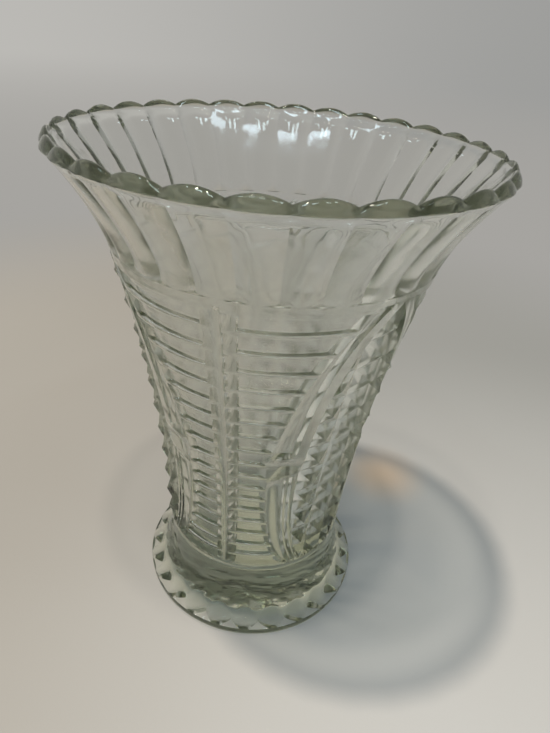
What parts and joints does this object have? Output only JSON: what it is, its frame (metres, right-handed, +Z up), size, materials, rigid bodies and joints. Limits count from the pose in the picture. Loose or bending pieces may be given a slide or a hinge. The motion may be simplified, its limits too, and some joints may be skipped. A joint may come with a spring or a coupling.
{
  "type": "glass vase",
  "caption": "Flared pressed-glass vase on a round petalled foot, with rib panels, fields of small pyramids, a reeded collar and a scalloped rim.",
  "frame": {"origin": "middle of the underside, on the surface the vase stands on", "axes": "+Z up along the vase's axis; -Y faces the middle of one rib panel; +X to that panel's right"},
  "size_m": [0.1554, 0.156, 0.2032],
  "materials": {
    "foot_glass": "clear fire-polished glass, thick",
    "body_glass": "clear pressed glass with a faint grey-green tint",
    "collar_glass": "clear reeded glass",
    "rim_glass": "clear fire-polished glass lip, greener where seen edge on"
  },
  "bodies": {
    "root": {"foot": "foot_glass", "lower_body": "body_glass", "upper_body": "body_glass", "collar": "collar_glass", "rim": "rim_glass"}
  },
  "joints": []
}
